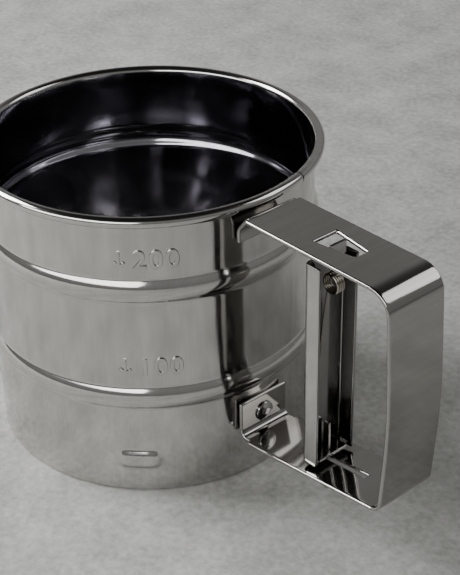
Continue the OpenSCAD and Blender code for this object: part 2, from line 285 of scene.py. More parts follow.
def lathe(name, outline, around=96, centre=(0, 0, 0), axis="z"):
    """A closed outline of (radius, height) points turned about an axis."""
    verts = []
    for r, h in outline:
        for k in range(around):
            turn = TAU * k / around
            x, y = r * math.cos(turn), r * math.sin(turn)
            verts.append((x, y, h) if axis == "z" else (h, x, y))
    verts = [Vector(v) + Vector(centre) for v in verts]
    piece = put_object(name, verts, loop_faces(len(outline), around, close_rings=True))
    mesh = bmesh.new()
    mesh.from_mesh(piece.data)
    bmesh.ops.remove_doubles(mesh, verts=mesh.verts, dist=1e-6)
    bmesh.ops.recalc_face_normals(mesh, faces=mesh.faces)
    mesh.to_mesh(piece.data)
    mesh.free()
    return piece


def sheet_solid(name, centre, normal, keep, thickness):
    """A bent sheet: a grid of middle points with their normals, given thickness, where keep says so."""
    rows, columns = centre.shape[:2]
    upper = centre + normal * thickness / 2
    lower = centre - normal * thickness / 2
    verts = np.concatenate([upper.reshape(-1, 3), lower.reshape(-1, 3)])
    under = rows * columns

    def at(i, j):
        return i * columns + j

    faces = []
    for i in range(rows - 1):
        for j in range(columns - 1):
            if not keep[i, j]:
                continue
            quad = (at(i, j), at(i + 1, j), at(i + 1, j + 1), at(i, j + 1))
            faces.append(quad)
            faces.append(tuple(under + v for v in reversed(quad)))
            beside = ((i, j - 1, quad[0], quad[1]), (i + 1, j, quad[1], quad[2]),
                      (i, j + 1, quad[2], quad[3]), (i - 1, j, quad[3], quad[0]))
            for bi, bj, a, b in beside:
                outside = not (0 <= bi < rows - 1 and 0 <= bj < columns - 1)
                if outside or not keep[bi, bj]:
                    faces.append((b, a, under + a, under + b))
    used = sorted({v for f in faces for v in f})
    number = {v: i for i, v in enumerate(used)}
    piece = put_object(name, [verts[v] for v in used], [[number[v] for v in f] for f in faces])
    recalculate(piece)
    return piece


def unit(v):
    """The direction of a vector."""
    return v / np.linalg.norm(v)


def rounded_path(points, radii, steps=10):
    """Corner points in a plane joined by straight runs, each corner rounded by its own radius."""
    points = [np.array(p, float) for p in points]
    path = [points[0]]
    for before, corner, after, radius in zip(points, points[1:], points[2:], radii):
        to_before, to_after = unit(before - corner), unit(after - corner)
        half = math.acos(float(to_before @ to_after)) / 2
        centre = corner + unit(to_before + to_after) * radius / math.sin(half)
        start = corner + to_before * radius / math.tan(half) - centre
        across = to_before[0] * to_after[1] - to_before[1] * to_after[0]
        turn = -math.copysign(math.pi - 2 * half, across)
        for i in range(steps + 1):
            path.append(centre + np.array(turned(*start, turn * i / steps)))
    path.append(points[-1])
    return np.array(path)


def with_stops(path, axis, stops, between=None):
    """Adds points to a path where one coordinate passes each stop, on the stretch that between allows."""
    out = [path[0]]
    for a, b in zip(path, path[1:]):
        found = []
        for stop in stops:
            span = b[axis] - a[axis]
            if abs(span) > 1e-9 and (between is None or between((a + b) / 2)):
                t = (stop - a[axis]) / span
                if 0.02 < t < 0.98:
                    found.append(t)
        out += [a + (b - a) * t for t in sorted(found)]
        out.append(b)
    return np.array(out)


def path_normals(path):
    """Unit normals of a plane path, to its left, averaged at each point and stretched at bends."""
    steps = np.diff(path, axis=0)
    left = np.stack([-steps[:, 1], steps[:, 0]], axis=1)
    left /= np.linalg.norm(left, axis=1)[:, None]
    before = np.vstack([left[:1], left])
    after = np.vstack([left, left[-1:]])
    return (before + after) / (1 + np.sum(before * after, axis=1))[:, None]


def plan_plate(name, outlines, low_z, thickness, edge=0.12):
    """A flat stamped plate: plan outlines, the first the outside and the rest holes, with softened edges."""
    curve = bpy.data.curves.new(name, "CURVE")
    curve.dimensions = "2D"
    curve.fill_mode = "BOTH"
    curve.extrude = (thickness / 2 - edge) * MM
    curve.bevel_depth = edge * MM
    curve.bevel_resolution = 2
    curve.offset = -edge * MM
    for outline in outlines:
        line = curve.splines.new("POLY")
        line.points.add(len(outline) - 1)
        line.use_cyclic_u = True
        for point, (x, y) in zip(line.points, outline):
            point.co = (x * MM, y * MM, 0, 1)
    maker = bpy.data.objects.new(name + "_curve", curve)
    bpy.context.scene.collection.objects.link(maker)
    depsgraph = bpy.context.evaluated_depsgraph_get()
    mesh = bpy.data.meshes.new_from_object(maker.evaluated_get(depsgraph), depsgraph=depsgraph)
    bpy.data.objects.remove(maker)
    for vertex in mesh.vertices:
        vertex.co.z += (low_z + thickness / 2) * MM
    piece = bpy.data.objects.new(name, mesh)
    bpy.context.scene.collection.objects.link(piece)
    mesh.polygons.foreach_set("use_smooth", [True] * len(mesh.polygons))
    mesh.set_sharp_from_angle(angle=math.radians(30))
    return piece


def circle_points(radius, count=64):
    """Outline of a round hole about the origin."""
    return [turned(radius, 0, TAU * k / count) for k in range(count)]


def capsule_points(start, end, radius, count=16):
    """Outline of a slot with round ends."""
    ahead = math.atan2(end[1] - start[1], end[0] - start[0])
    points = []
    for centre, first in ((end, ahead - math.pi / 2), (start, ahead + math.pi / 2)):
        for k in range(count + 1):
            x, y = turned(radius, 0, first + math.pi * k / count)
            points.append((centre[0] + x, centre[1] + y))
    return points


def spider_points(hub, arm_angles, half_width, reach):
    """Outline of a round hub with straight arms."""
    points = []
    root = math.asin(half_width / hub)
    corner = 0.8
    for arm, following in zip(arm_angles, arm_angles[1:] + [arm_angles[0] + TAU]):
        tip = [(reach - corner, -half_width), (reach, -half_width + corner),
               (reach, half_width - corner), (reach - corner, half_width)]
        points += [turned(x, y, arm) for x, y in tip]
        start, end = arm + root, following - root
        points += [turned(hub, 0, start + (end - start) * k / 8) for k in range(9)]
    return points


def join(first, others):
    """Puts several meshes into one piece."""
    mesh = bmesh.new()
    for piece in [first] + others:
        mesh.from_mesh(piece.data)
    mesh.to_mesh(first.data)
    mesh.free()
    for piece in others:
        bpy.data.objects.remove(piece)
    return first


def turn_piece(piece, angle):
    """Turns a piece's mesh about the upright axis."""
    for vertex in piece.data.vertices:
        vertex.co = (*turned(vertex.co.x, vertex.co.y, angle), vertex.co.z)


def soft_block(name, low, high, edge=0.12, turn=0.0):
    """A small sheet-metal tab with softened edges, turned about the upright axis."""
    piece = block(name, low, high)
    soften_edges(piece, edge, 2)
    turn_piece(piece, turn)
    return piece


# ---- shader groups, each built once
def new_group(name, inputs, outputs):
    """An empty group with its sockets: inputs are (label, kind, value), outputs (label, kind)."""
    group = bpy.data.node_groups.new(name, "ShaderNodeTree")
    for label, kind, value in inputs:
        socket = group.interface.new_socket(label, in_out="INPUT", socket_type=kind)
        socket.default_value = value
    for label, kind in outputs:
        group.interface.new_socket(label, in_out="OUTPUT", socket_type=kind)
    return group, group.nodes.new("NodeGroupInput"), group.nodes.new("NodeGroupOutput")


def add_node(tree, kind, links=(), **settings):
    """A node with its settings, and links given as (input, output socket)."""
    node = tree.nodes.new(kind)
    for key, value in settings.items():
        setattr(node, key, value)
    for socket, source in links:
        tree.links.new(source, node.inputs[socket])
    return node


def grain_group():
    """Fine brushing lines, long along one axis, as a mask and a height."""
    group, given, made = new_group(
        "brushed_grain",
        [("Stretch", "NodeSocketVector", (1, 1, 1)), ("Fineness", "NodeSocketFloat", 1.0)],
        [("Mask", "NodeSocketFloat"), ("Height", "NodeSocketFloat")])
    where = add_node(group, "ShaderNodeTexCoord")
    wide = add_node(group, "ShaderNodeVectorMath",
                    [(0, where.outputs["Object"]), (1, given.outputs["Stretch"])], operation="MULTIPLY")
    size = add_node(group, "ShaderNodeVectorMath",
                    [(0, wide.outputs[0]), ("Scale", given.outputs["Fineness"])], operation="SCALE")
    fine = add_node(group, "ShaderNodeTexNoise", [("Vector", size.outputs[0])])
    fine.inputs["Scale"].default_value = 2600
    fine.inputs["Detail"].default_value = 3
    coarse = add_node(group, "ShaderNodeTexNoise", [("Vector", size.outputs[0])])
    coarse.inputs["Scale"].default_value = 380
    coarse.inputs["Detail"].default_value = 4
    both = add_node(group, "ShaderNodeMath", [(0, fine.outputs["Fac"]), (1, coarse.outputs["Fac"])],
                    operation="MULTIPLY")
    spread = add_node(group, "ShaderNodeMapRange", [("Value", both.outputs[0])])
    spread.inputs["From Min"].default_value = 0.14
    spread.inputs["From Max"].default_value = 0.40
    group.links.new(spread.outputs[0], made.inputs["Mask"])
    group.links.new(both.outputs[0], made.inputs["Height"])
    return group


def handling_group():
    """Soft smudges where hands have been, and a slow wave for the sheet's unevenness."""
    group, given, made = new_group(
        "handling",
        [("Size", "NodeSocketFloat", 60.0)],
        [("Smudge", "NodeSocketFloat"), ("Wave", "NodeSocketFloat")])
    where = add_node(group, "ShaderNodeTexCoord")
    cloud = add_node(group, "ShaderNodeTexNoise",
                     [("Vector", where.outputs["Object"]), ("Scale", given.outputs["Size"])])
    cloud.inputs["Detail"].default_value = 5
    cloud.inputs["Roughness"].default_value = 0.6
    spread = add_node(group, "ShaderNodeMapRange", [("Value", cloud.outputs["Fac"])])
    spread.inputs["From Min"].default_value = 0.35
    spread.inputs["From Max"].default_value = 0.70
    wave = add_node(group, "ShaderNodeTexNoise", [("Vector", where.outputs["Object"])])
    wave.inputs["Scale"].default_value = 55
    wave.inputs["Detail"].default_value = 1
    group.links.new(spread.outputs[0], made.inputs["Smudge"])
    group.links.new(wave.outputs["Fac"], made.inputs["Wave"])
    return group


GRAIN = grain_group()
HANDLING = handling_group()
FILM = 0.15
FILM_TINT = (0.80, 0.70, 0.58)


def steel(name, tint, rough, grain=(1, 1, 1), fineness=1.0, streak=0.1, dent=0.0, relief=0.02,
          corner_shade=0.0, reach=0.010):
    """Stainless steel: brushing along one axis, a thin warm film, painted shade darkening its corners, an
    uneven sheet.
    """
    made = bpy.data.materials.new(name)
    made.use_nodes = True
    tree = made.node_tree
    surface = tree.nodes["Principled BSDF"]
    surface.inputs["Metallic"].default_value = 1.0
    lines = add_node(tree, "ShaderNodeGroup", node_tree=GRAIN)
    lines.inputs["Stretch"].default_value = grain
    lines.inputs["Fineness"].default_value = fineness
    hands = add_node(tree, "ShaderNodeGroup", node_tree=HANDLING)
    dark = [c * (1 - streak) for c in tint]
    colour = add_node(tree, "ShaderNodeMix", [("Factor", lines.outputs["Mask"])], data_type="RGBA")
    colour.inputs["A"].default_value = (*dark, 1)
    colour.inputs["B"].default_value = (*tint, 1)
    thin = add_node(tree, "ShaderNodeMath", [(0, hands.outputs["Smudge"])], operation="MULTIPLY")
    thin.inputs[1].default_value = FILM
    warm = add_node(tree, "ShaderNodeMix", [("Factor", thin.outputs[0]), ("A", colour.outputs["Result"])],
                    data_type="RGBA")
    warm.inputs["B"].default_value = (*[c * part for c, part in zip(tint, FILM_TINT)], 1)
    # painted shade: ambient occlusion within the reach darkens the base colour in corners and recesses
    corners = add_node(tree, "ShaderNodeAmbientOcclusion", samples=4)
    corners.inputs["Distance"].default_value = reach
    shade_scale = add_node(tree, "ShaderNodeMapRange", [("Value", corners.outputs["AO"])])
    shade_scale.inputs["From Min"].default_value = 0.30
    shade_scale.inputs["From Max"].default_value = 0.95
    shade_scale.inputs["To Min"].default_value = 1 - corner_shade
    shaded_colour = add_node(tree, "ShaderNodeVectorMath",
                      [(0, warm.outputs["Result"]), ("Scale", shade_scale.outputs[0])], operation="SCALE")
    tree.links.new(shaded_colour.outputs[0], surface.inputs["Base Color"])
    dull = add_node(tree, "ShaderNodeMath", [(0, hands.outputs["Smudge"])], operation="MULTIPLY_ADD")
    dull.inputs[1].default_value = rough * 0.35
    dull.inputs[2].default_value = rough
    brushed = add_node(tree, "ShaderNodeMath", [(0, lines.outputs["Mask"]), (2, dull.outputs[0])],
                       operation="MULTIPLY_ADD")
    brushed.inputs[1].default_value = -rough * 0.2
    tree.links.new(brushed.outputs[0], surface.inputs["Roughness"])
    fine = add_node(tree, "ShaderNodeBump", [("Height", lines.outputs["Height"])])
    fine.inputs["Strength"].default_value = relief
    fine.inputs["Distance"].default_value = 0.0002
    uneven = add_node(tree, "ShaderNodeBump",
                      [("Height", hands.outputs["Wave"]), ("Normal", fine.outputs[0])])
    uneven.inputs["Strength"].default_value = dent
    uneven.inputs["Distance"].default_value = 0.001
    tree.links.new(uneven.outputs[0], surface.inputs["Normal"])
    return made


# where a steel below darkens its corners, that darkening is painted shade
CUP_STEEL = steel("cup_steel", (0.61, 0.60, 0.585), 0.10, grain=(1, 1, 0.03), fineness=0.8,
                  streak=0.09, dent=0.05, relief=0.04)
# painted shade: the inside is the same sheet as the outside, given a darker, bluish tint for the dark inside
CUP_INSIDE_SHADED = steel("cup_inside_shaded", (0.43, 0.425, 0.465), 0.09, grain=(1, 1, 0.03), fineness=0.8,
                   streak=0.15, dent=0.05, relief=0.03)
STRAP_STEEL = steel("strap_steel", (0.45, 0.44, 0.425), 0.09, grain=(1, 0.03, 1), fineness=0.7,
                    dent=0.08, corner_shade=0.4)
# painted highlight: a pale steel for the rounded cut edges, standing for their bright highlight
CUT_EDGE_HIGHLIGHT = steel("cut_edge_highlight", (0.86, 0.86, 0.85), 0.34, streak=0.05, dent=0.02)
TRIGGER_STEEL = steel("trigger_steel", (0.55, 0.545, 0.535), 0.10, grain=(1, 1, 0.03), streak=0.12,
                      dent=0.08, relief=0.03, corner_shade=0.9, reach=0.02)
SHELF_SHADE = steel("shelf_shade", (0.10, 0.098, 0.095), 0.22, dent=0.05, relief=0.03)
STAMPED_STEEL = steel("stamped_steel", (0.40, 0.39, 0.38), 0.20, grain=(0.2, 1, 1), fineness=0.6,
                      streak=0.15, dent=0.10, relief=0.1)
RIVET_STEEL = steel("rivet_steel", (0.58, 0.57, 0.56), 0.12, fineness=0.5, dent=0.04, relief=0.08)
BAND_STEEL = steel("band_steel", (0.52, 0.51, 0.50), 0.28, grain=(1, 1, 0.1), streak=0.12, dent=0.05,
                   relief=0.25)
SCREEN_WIRE = steel("screen_wire", (0.30, 0.30, 0.31), 0.25, fineness=0.4, streak=0.15, relief=0.1)
SPRING_WIRE = steel("spring_wire", (0.62, 0.57, 0.49), 0.16, fineness=0.5, streak=0.12, relief=0.1,
                    corner_shade=0.7)


def finish_piece(piece, body, nodes, material, extra=()):
    """Gives a piece its materials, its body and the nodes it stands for."""
    piece.data.materials.clear()
    for each in (material, *extra):
        piece.data.materials.append(each)
    if body:
        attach(piece, body)
    if nodes:
        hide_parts(*nodes)


# ---- cup
def bead_rise(z):
    """How far the wall stands out at a height, for the two rolled beads with soft roots."""
    grid = np.arange(-8, 8.001, 0.02)
    arc_r = (BEAD_HALF ** 2 + BEAD_OUT ** 2) / (2 * BEAD_OUT)
    arc = np.sqrt(np.maximum(arc_r ** 2 - grid ** 2, 0)) - (arc_r - BEAD_OUT)
    arc = np.where(np.abs(grid) < BEAD_HALF, np.maximum(arc, 0), 0)
    soft = np.exp(-0.5 * (np.arange(-1, 1.001, 0.02) / 0.35) ** 2)
    arc = np.convolve(arc, soft / soft.sum(), "same")
    return sum(np.interp(z - centre, grid, arc, left=0, right=0) for centre in BEAD_HEIGHTS)


def cup_line():
    """Middle line of the cup's sheet: hem, wall with beads, rolled rim."""
    hem_r = WALL_MID - HEM_IN
    fold_z = HEM_FOLD_R + SHEET / 2
    line = [(hem_r, z) for z in (HEM_TOP, 1.6, fold_z)]
    for k in range(1, 8):
        x, z = turned(HEM_FOLD_R, 0, math.pi + math.pi * k / 8)
        line.append((hem_r + HEM_FOLD_R + x, fold_z + z))
    heights = set(np.round(np.arange(fold_z, 88, 2.0), 3)) | set(np.round(np.arange(7, 17, 0.5), 3))
    for centre in BEAD_HEIGHTS:
        heights |= set(np.round(np.arange(centre - 5, centre + 5.01, 0.4), 3))
    line += [(WALL_MID + float(bead_rise(z)), float(z)) for z in sorted(heights)]
    for k in range(26):
        x, z = turned(RIM_CURL, 0, math.pi - RIM_TURN * k / 25)
        line.append((RIM_MID_R + x, RIM_MID_Z + z))
    return np.array(line)


def ring_outline(line, thickness):
    """A closed outline around a middle line, with round ends."""
    normals = path_normals(line)
    left = line + normals * thickness / 2
    right = line - normals * thickness / 2
    points = []
    for side, end in ((left, line[-1]), (right[::-1], line[0])):
        points += list(side)
        start = side[-1] - end
        points += [end + np.array(turned(*start, math.radians(turn))) for turn in (-45, -90, -135)]
    return np.array(points)


def cup_columns():
    """Angles of the cup's columns, closer together at the seam."""
    around = {round(TAU * k / 432, 6) for k in range(432)}
    around |= {round(SEAM_ANGLE + math.radians(a), 6) for a in np.arange(-0.6, 0.61, 0.15)}
    return sorted(around)


def pocket_rise(angle, z):
    """How far the wall is pressed out at the four oblong pockets that hold the bridge."""
    rise = 0.0
    for pocket in POCKET_ANGLES:
        along = abs((angle - pocket + math.pi) % TAU - math.pi) * WALL_R
        off = math.hypot(max(along - POCKET_RUN_HALF, 0), z - POCKET_Z)
        slope = min(max((POCKET_R - off) / POCKET_SLOPE, 0), 1)
        rise += POCKET_OUT * slope * slope * (3 - 2 * slope)
    return rise


def make_cup():
    """The cup's shell, with the butt gap in its rim and the holes for the link and the rivet."""
    outline = ring_outline(cup_line(), SHEET)
    columns = cup_columns()
    verts = []
    for r, z in outline:
        on_wall = WALL_MID - 0.6 < r and z < 80
        for angle in columns:
            reach = r
            if on_wall:
                reach += pocket_rise(angle, z) if 6 < z < 18 else 0
                seam = abs(angle - SEAM_ANGLE) * WALL_R
                reach -= SEAM_DEPTH * max(1 - seam / SEAM_HALF, 0)
            verts.append((reach * math.cos(angle), reach * math.sin(angle), z))
    faces = loop_faces(len(outline), len(columns), close_rings=True)
    cup = put_object("cup_shell", verts, faces)
    recalculate(cup)
    gap = block("rim_gap", (WALL_R + 0.1, -RIM_GAP_HALF, CUP_TOP - 3.4),
                (WALL_R + 4, RIM_GAP_HALF, CUP_TOP + 0.3))
    turn_piece(gap, SEAM_ANGLE)
    slot = block("link_hole", (WALL_R - 2, -0.9, LINK_LOW.z - 0.4), (WALL_R + 2, 0.9, LINK_LOW.z + 3.4))
    hole = rod("rivet_hole", (WALL_R - 2, 0, RIVET_Z), (WALL_R + 2, 0, RIVET_Z), 1.65)
    cut_away(cup, [gap, slot, hole])
    cup.data.polygons.foreach_set("use_smooth", [True] * len(cup.data.polygons))
    cup.data.set_sharp_from_angle(angle=math.radians(38))
    return cup


def wrap_on_wall(piece, start_angle, low_z):
    """Bends a flat mesh round the cup's wall, so that it stands out by the marks' rise."""
    top = max(v.co.z for v in piece.data.vertices)
    for vertex in piece.data.vertices:
        x, y, depth = vertex.co
        reach = (WALL_R + MARK_RISE) * MM + depth - top
        vertex.co = (*turned(reach, 0, start_angle + x / (WALL_R * MM)), y + low_z * MM)
    piece.data.polygons.foreach_set("use_smooth", [True] * len(piece.data.polygons))
    piece.data.set_sharp_from_angle(angle=math.radians(50))


def raised_figures(name, figures, low_z):
    """Plain raised figures on the wall, read from outside."""
    curve = bpy.data.curves.new(name, "FONT")
    curve.body = figures
    curve.size = FIGURE_SIZE * MM
    curve.extrude = 0.1 * MM
    curve.bevel_depth = 0.22 * MM
    curve.bevel_resolution = 2
    curve.space_character = 1.15
    maker = bpy.data.objects.new(name + "_curve", curve)
    bpy.context.scene.collection.objects.link(maker)
    depsgraph = bpy.context.evaluated_depsgraph_get()
    mesh = bpy.data.meshes.new_from_object(maker.evaluated_get(depsgraph), depsgraph=depsgraph)
    bpy.data.objects.remove(maker)
    piece = bpy.data.objects.new(name, mesh)
    bpy.context.scene.collection.objects.link(piece)
    wrap_on_wall(piece, FIGURE_START, low_z)
    return piece


def raised_arrow(name, low_z):
    """A plain raised arrow beside the figures, pointing down at their line."""
    middle, stem_half, head_half, length = 1.8, 0.4, 1.8, 5.6
    half = [(head_half, 2.0), (1.2, 2.6), (stem_half, 1.7), (stem_half, length)]
    outline = [(middle, 0)] + [(middle + x, y) for x, y in half]
    outline += [(middle - x, y) for x, y in reversed(half)]
    piece = plan_plate(name, [outline], 0, MARK_RISE + 0.2, 0.2)
    wrap_on_wall(piece, ARROW_START, low_z)
    return piece


def shade_inside(shell):
    """Gives the cup's inner faces, up to the rim, the darker inside steel, which is painted shade for the
    dark inside.
    """
    for face in shell.data.polygons:
        x, y, z = face.center
        faces_in = face.normal.x * x + face.normal.y * y < 0
        if faces_in and z < (RIM_MID_Z - 0.5) * MM and math.hypot(x, y) < (WALL_R + BEAD_OUT + 1) * MM:
            face.material_index = 1


cup = make_cup()
marks = []
for figures, low_z in MARKS:
    marks.append(raised_arrow("arrow_" + figures, low_z - 0.4))
    marks.append(raised_figures("figure_" + figures, figures, low_z))
for mark in marks:
    finish_piece(mark, "frame", (), CUP_STEEL)
finish_piece(cup, "frame", ("cup_body",), CUP_STEEL, (CUP_INSIDE_SHADED,))
shade_inside(cup)


# ---- handle strap
def strap_line():
    """Middle line of the strap: upper foot, top run, bowed grip, rising lower run, lower foot."""
    foot_x = WALL_R + STRAP_T / 2
    low_z = LOW_RUN_Z
    lean = 1.4
    slope = 0.124
    reach = GRIP_X - WALL_R + STRAP_T / 2 - lean
    path = rounded_path(
        [(foot_x, STRAP_TOP - 9.3), (foot_x, STRAP_TOP - 5.3), (WALL_R + 4.4, RUN_Z),
         (GRIP_X - lean, RUN_Z), (GRIP_X + lean / 2, (RUN_Z + low_z) / 2),
         (GRIP_X - lean, low_z + slope * reach), (foot_x, low_z), (foot_x, low_z + 11.9)],
        [3, 1.2, 6.4, 200, 4, 2.6])
    for stop in (SHOULDER_X, 60.0, *SLOT_X, 84.0, *TONGUE_SLOT_X, 100.0):
        path = with_stops(path, 0, [stop])
    return with_stops(path, 1, [20.0, 30.0, 40.0, 50.0, 60.0, 70.0], lambda p: p[0] > 100)


def make_strap():
    """The strap as one bent sheet, narrower at its feet, with the trigger's slot and the tongue's."""
    path = strap_line()
    normals = path_normals(path)
    columns = (-STRAP_HALF, -FOOT_HALF, -6.5, "slot_low", -TONGUE_SLOT_HALF,
               TONGUE_SLOT_HALF, "slot_high", 6.5, FOOT_HALF, STRAP_HALF)
    centre = np.zeros((len(path), len(columns), 3))
    across = np.zeros_like(centre)
    for i, (x, z) in enumerate(path):
        share = min(max((x - SLOT_X[0]) / (SLOT_X[1] - SLOT_X[0]), 0), 1) if z > 80 else 0
        half = SLOT_HALF[0] + (SLOT_HALF[1] - SLOT_HALF[0]) * share
        for j, column in enumerate(columns):
            y = {"slot_low": -half, "slot_high": half}.get(column, column)
            centre[i, j] = (x, y, z)
            across[i, j] = (normals[i][0], 0, normals[i][1])
    keep = np.ones((len(path) - 1, len(columns) - 1), bool)
    for i in range(len(path) - 1):
        x, z = (path[i] + path[i + 1]) / 2
        if x < SHOULDER_X:
            keep[i, 0] = False
            keep[i, -1] = False
        if z > 80 and SLOT_X[0] < x < SLOT_X[1]:
            keep[i, 3:6] = False
        if z < 25 and TONGUE_SLOT_X[0] < x < TONGUE_SLOT_X[1]:
            keep[i, 4] = False
    strap = sheet_solid("strap_strip", centre, across, keep, STRAP_T)
    soften_edges(strap, STRAP_EDGE, 5, 45, edge_highlight=True)
    return strap


finish_piece(make_strap(), "frame", ("handle_strap",), STRAP_STEEL, (CUT_EDGE_HIGHLIGHT,))


# ---- trigger
def flat_sheet(name, path, half_width, thickness, hole=None):
    """A strip along a path in the X-Z plane, centred on Y = 0, with an optional hole (x0, x1, half)."""
    columns = [-half_width, half_width]
    if hole:
        columns = [-half_width, -hole[2], hole[2], half_width]
    normals = path_normals(path)
    centre = np.array([[(x, y, z) for y in columns] for x, z in path])
    across = np.array([[(nx, 0, nz) for _ in columns] for nx, nz in normals])
    keep = np.ones((len(path) - 1, len(columns) - 1), bool)
    if hole:
        for i in range(len(path) - 1):
            if hole[0] < (path[i][0] + path[i + 1][0]) / 2 < hole[1]:
                keep[i, 1] = False
    return sheet_solid(name, centre, across, keep, thickness)


def make_trigger():
    """The trigger: a channel, the step at its foot that takes the tongue, and the shelf with the tab."""
    half = TRIGGER_HIGH.y - TRIGGER_T / 2
    web_x = WEB_X + TRIGGER_T / 2
    top = CHANNEL_TOP
    bend = rounded_path([(FLANGE_X, -half), (web_x, -half), (web_x, half), (FLANGE_X, half)], [1.4, 1.4], 8)
    normals = path_normals(bend)
    heights = [TRIGGER_LOW.z, TRIGGER_LOW.z + 1.2] + list(np.linspace(26, top - 4, 14)) + [top - 1.2, top]
    centre = np.array([[(x, y, z) for x, y in bend] for z in heights])
    across = np.array([[(nx, ny, 0) for nx, ny in normals] for _ in heights])
    keep = np.ones((len(heights) - 1, len(bend) - 1), bool)
    channel = sheet_solid("trigger_channel", centre, across, keep, TRIGGER_T)
    step_path = np.array([(x, STEP_Z) for x in (WEB_X + 0.8, *STEP_SLOT_X, FLANGE_X - 0.5)])
    step = flat_sheet("step", step_path, STEP_HALF, TRIGGER_T, (*STEP_SLOT_X, TONGUE_SLOT_HALF))
    shelf_z = top + 1.0
    shelf_path = rounded_path([(web_x, top - 0.3), (web_x, shelf_z), (PIVOT_X, shelf_z),
                               (PIVOT_X, TRIGGER_HIGH.z)], [0.8, 0.8], 6)
    shelf = flat_sheet("shelf", shelf_path, SHELF_HALF, TRIGGER_T)
    for part, edge in ((channel, 0.42), (step, 0.2), (shelf, 0.2)):
        soften_edges(part, edge, 3, 45, edge_highlight=True)
    return join(channel, [step, shelf])


def shade_shelf(lever):
    """Darkens the shelf's top, which lies in the shadow of the strap."""
    for face in lever.data.polygons:
        if face.normal.z > 0.7 and face.center.z > (CHANNEL_TOP - 0.6) * MM:
            face.material_index = 2


trigger = make_trigger()
finish_piece(trigger, "trigger", ("trigger_lever",), TRIGGER_STEEL, (CUT_EDGE_HIGHLIGHT, SHELF_SHADE))
shade_shelf(trigger)


# ---- return spring
def smooth_line(points, steps=8):
    """A rounder line through points."""
    points = [np.array(p, float) for p in points]
    points = [2 * points[0] - points[1]] + points + [2 * points[-1] - points[-2]]
    line = []
    for a, b, c, d in zip(points, points[1:], points[2:], points[3:]):
        for k in range(steps):
            t = k / steps
            line.append(0.5 * (2 * b + (c - a) * t + (2 * a - 5 * b + 4 * c - d) * t * t
                               + (3 * b - a - 3 * c + d) * t ** 3))
    line.append(points[-2])
    return line


def make_spring():
    """The return spring: an arm under the strap, the coil, and a leg down the trigger's web."""
    wire_r, coil_r, coil_y, pitch, turns, per_turn = 0.3, 2.8, -3.7, 0.7, 3, 14
    coil_x, coil_z = FLANGE_X + 0.3, STRAP_TOP - 10.9
    under = STRAP_TOP - STRAP_T
    leg_x = WEB_X + 1.35
    start = [(SLOT_X[1] - 1.2, -0.6, under - 0.35), (SLOT_X[1] + 1.2, -1.8, under - 1.1),
             (coil_x + 4.5, -4, coil_z + coil_r + 2.6)]
    coil = []
    for k in range(turns * per_turn + 11):
        turn = TAU * k / per_turn
        coil.append((coil_x + coil_r * math.sin(turn), coil_y + pitch * k / per_turn,
                     coil_z + coil_r * math.cos(turn)))
    leg_y = coil_y + pitch * (turns + 1)
    leg = [(leg_x + 0.5, leg_y, coil_z - 10), (leg_x, leg_y - 1.5, coil_z - 26)]
    spring = sweep("spring_wire", smooth_line(start + coil + leg, 3), wire_r, 12, tip=0.1)
    finish_piece(spring, None, ("return_spring",), SPRING_WIRE)
    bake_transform(spring)


make_spring()


# ---- rivets, washers, bush and pin
def domed_outline(radius, low, height):
    """Half outline of a rivet head: flat seat, rolled rim, shallow dome."""
    rim = height * 0.55
    roll = 0.5
    points = [(AXIS_R, low), (radius - 0.15, low), (radius, low + 0.15), (radius, low + rim * 0.6)]
    for k in range(1, 5):
        turn = math.pi / 2 * k / 4
        points.append((radius - roll * (1 - math.cos(turn)), low + rim * (0.6 + 0.4 * math.sin(turn))))
    for k in range(1, 9):
        share = 1 - k / 8
        points.append((max((radius - roll) * share, AXIS_R), low + rim + (height - rim) * (1 - share ** 2)))
    return points


def ring_points(inner, outer, low, high, edge=0.1):
    """Outline of a flat ring with softened corners."""
    return [(inner + edge, low), (outer - edge, low), (outer, low + edge), (outer, high - edge),
            (outer - edge, high), (inner + edge, high), (inner, high - edge), (inner, low + edge)]


def make_handle_rivet():
    """The domed rivet through the lower foot, and its washer inside the cup."""
    centre = (0, 0, RIVET_Z)
    head_x = WALL_R + STRAP_T
    tail_x = RIVET_WASHER_LOW.x
    head = lathe("rivet_head", domed_outline(3.1, head_x, 1.3), 64, centre, "x")
    tail_outline = [(r, 2 * tail_x - h) for r, h in domed_outline(2.5, tail_x, 1.0)]
    tail = lathe("rivet_tail", tail_outline, 48, centre, "x")
    shank = rod("rivet_shank", (tail_x - 0.3, 0, RIVET_Z), (head_x + 0.3, 0, RIVET_Z), 1.6, 32)
    finish_piece(join(head, [tail, shank]), "frame", ("handle_rivet",), RIVET_STEEL)
    ring = ring_points(1.62, 3.6, RIVET_WASHER_LOW.x, RIVET_WASHER_HIGH.x)
    washer = lathe("rivet_washer_ring", ring, 48, centre, "x")
    finish_piece(washer, "frame", ("rivet_washer",), RIVET_STEEL)


def make_axle():
    """The axle rivet through the bridge, and the washer that holds the stirrer on it."""
    low, seat = AXLE_LOW.z, BRIDGE_PLATE_TOP
    head = lathe("axle_head", domed_outline(AXLE_HIGH.x, seat, 2.0), 64)
    stem = lathe("axle_stem", [(AXIS_R, low), (2.9, low), (3.2, low + 0.25), (3.1, low + 0.7),
                               (2.6, low + 0.9), (AXLE_R, low + 0.9), (AXLE_R, seat + 0.3),
                               (AXIS_R, seat + 0.3)], 48)
    finish_piece(join(head, [stem]), "frame", ("axle_rivet",), RIVET_STEEL)
    ring = ring_points(AXLE_R + 0.05, 4.4, AXLE_WASHER_LOW.z, AXLE_WASHER_HIGH.z)
    washer = lathe("axle_washer_ring", ring, 48)
    finish_piece(washer, "frame", ("axle_washer",), STAMPED_STEEL)


